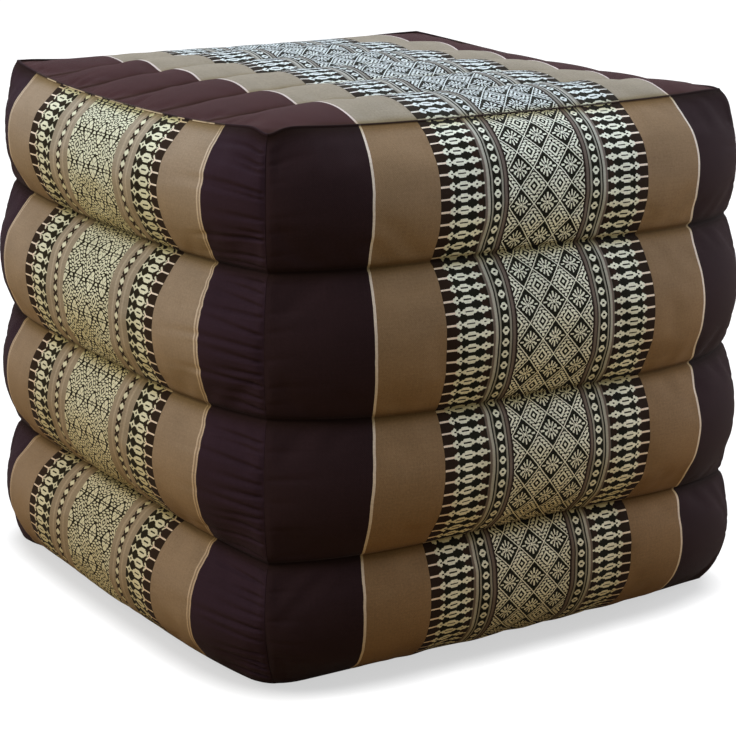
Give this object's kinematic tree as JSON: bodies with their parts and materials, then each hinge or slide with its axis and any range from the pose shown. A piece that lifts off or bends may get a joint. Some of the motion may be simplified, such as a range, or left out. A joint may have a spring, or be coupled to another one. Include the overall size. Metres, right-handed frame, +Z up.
{
  "type": "cube pouf",
  "caption": "Soft stuffed cube pouf with sewn channels on its sides and top and woven bands of diamonds, to sit on or rest the feet on.",
  "frame": {"origin": "middle of the underside, on the floor", "axes": "+Z up, -Y out of the front panel, +X to the right as the front is faced; the top's channels run along X"},
  "size_m": [0.4296, 0.476, 0.3607],
  "materials": {
    "front_cloth": "matt cotton with a woven band of flowers and diamonds in cream on black, beige and dark brown stripes",
    "side_cloth": "matt cotton with a woven band of small diamonds in greenish cream on black, beige and dark brown stripes",
    "top_cloth": "the cloth of the front, a little silvery in the light from above",
    "bottom_cloth": "plain matt dark brown cotton"
  },
  "bodies": {
    "root": {"panel_front": "front_cloth", "panel_back": "front_cloth", "panel_left": "side_cloth", "panel_right": "side_cloth", "panel_top": "top_cloth", "panel_bottom": "bottom_cloth"}
  },
  "joints": []
}
